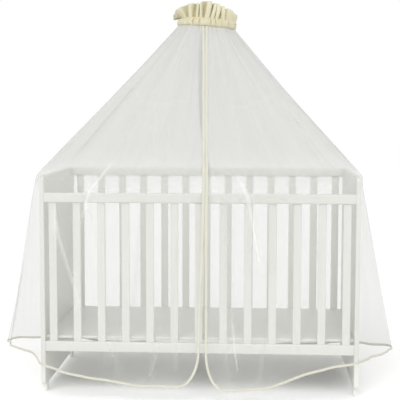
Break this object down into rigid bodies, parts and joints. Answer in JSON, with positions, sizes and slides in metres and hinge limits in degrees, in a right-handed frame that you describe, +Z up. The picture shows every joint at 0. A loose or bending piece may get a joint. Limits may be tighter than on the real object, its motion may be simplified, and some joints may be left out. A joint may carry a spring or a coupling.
{
  "type": "mosquito net canopy on a baby cot",
  "caption": "Sheer net gathered in a frilled heading on a hoop, open at the front with bound edges, held by a pole on a slatted cot and hanging over it.",
  "frame": {"origin": "on the floor under the middle of the whole part's box", "axes": "+X along the cot to its right, seen from the front; +Y from the open front to the back; +Z up"},
  "size_m": [1.6512, 0.8774, 1.5487],
  "materials": {
    "net_mesh": "fine sheer off-white net, matt",
    "cream_binding": "cream tape, plain weave, matt",
    "cream_cotton": "cream cotton, plain weave, matt",
    "painted_wood": "white paint, satin",
    "painted_steel": "light grey powder coat, satin",
    "white_plastic": "white, satin"
  },
  "bodies": {
    "root": {"back_bottom_rail": "painted_wood", "back_slat_01": "painted_wood", "back_slat_02": "painted_wood", "back_slat_03": "painted_wood", "back_slat_04": "painted_wood", "back_slat_05": "painted_wood", "back_slat_06": "painted_wood", "back_slat_07": "painted_wood", "back_slat_08": "painted_wood", "back_slat_09": "painted_wood", "back_slat_10": "painted_wood", "back_slat_11": "painted_wood", "back_slat_12": "painted_wood", "back_slat_13": "painted_wood", "back_top_rail": "painted_wood", "base_board": "painted_wood", "binding": "cream_binding", "end_panel_left": "painted_wood", "end_panel_right": "painted_wood", "foot_back_left": "white_plastic", "foot_back_right": "white_plastic", "foot_front_left": "white_plastic", "foot_front_right": "white_plastic", "front_bottom_rail": "painted_wood", "front_slat_01": "painted_wood", "front_slat_02": "painted_wood", "front_slat_03": "painted_wood", "front_slat_04": "painted_wood", "front_slat_05": "painted_wood", "front_slat_06": "painted_wood", "front_slat_07": "painted_wood", "front_slat_08": "painted_wood", "front_slat_09": "painted_wood", "front_slat_10": "painted_wood", "front_slat_11": "painted_wood", "front_slat_12": "painted_wood", "front_slat_13": "painted_wood", "front_top_rail": "painted_wood", "heading": "cream_cotton", "hoop": "painted_steel", "hoop_bracket": "painted_steel", "net": "net_mesh", "pole": "painted_steel", "pole_collar": "painted_steel", "saddle": "painted_steel", "saddle_knob": "white_plastic"}
  },
  "joints": []
}
